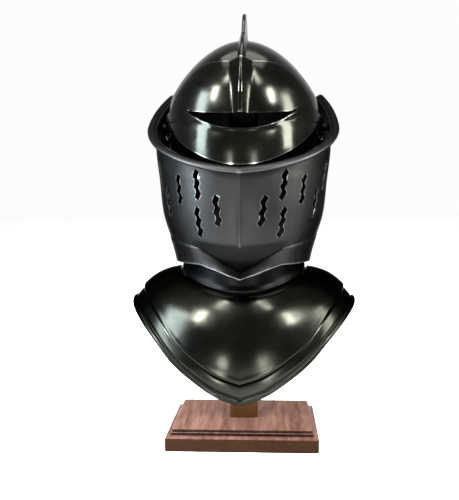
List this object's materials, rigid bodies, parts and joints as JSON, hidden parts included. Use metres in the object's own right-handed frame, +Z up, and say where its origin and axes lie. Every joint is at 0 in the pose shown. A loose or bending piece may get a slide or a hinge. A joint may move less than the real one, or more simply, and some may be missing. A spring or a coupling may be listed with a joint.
{
  "type": "close helmet with gorget on wooden display stand",
  "caption": "Blackened steel close helmet with comb, lifting visor, pierced ventail and heart-shaped gorget, held on a wooden post and plinth.",
  "frame": {"origin": "middle of the plinth's underside, on the surface that the stand rests on", "axes": "+Z up, the face looks along -Y, +X to the wearer's left"},
  "size_m": [0.2878, 0.2664, 0.5486],
  "materials": {
    "dark_steel": "blackened and polished",
    "satin_steel": "blackened satin",
    "wood": "varnished reddish brown"
  },
  "bodies": {
    "root": {"skull": "dark_steel", "pivot_left": "dark_steel", "pivot_right": "dark_steel", "collar": "dark_steel", "gorget_front": "dark_steel", "gorget_back": "dark_steel", "stand_base": "wood", "stand_post": "wood"},
    "visor": {"visor": "dark_steel"},
    "ventail": {"ventail": "satin_steel"}
  },
  "joints": [
    {"name": "visor_hinge", "type": "hinge", "parent": "root", "child": "visor", "pos_m": [0, 0.012, 0.402], "axis": [-1, 0, 0], "range_deg": [0, 33]},
    {"name": "ventail_hinge", "type": "hinge", "parent": "root", "child": "ventail", "pos_m": [0, 0.012, 0.402], "axis": [-1, 0, 0], "range_deg": [0, 50]}
  ]
}
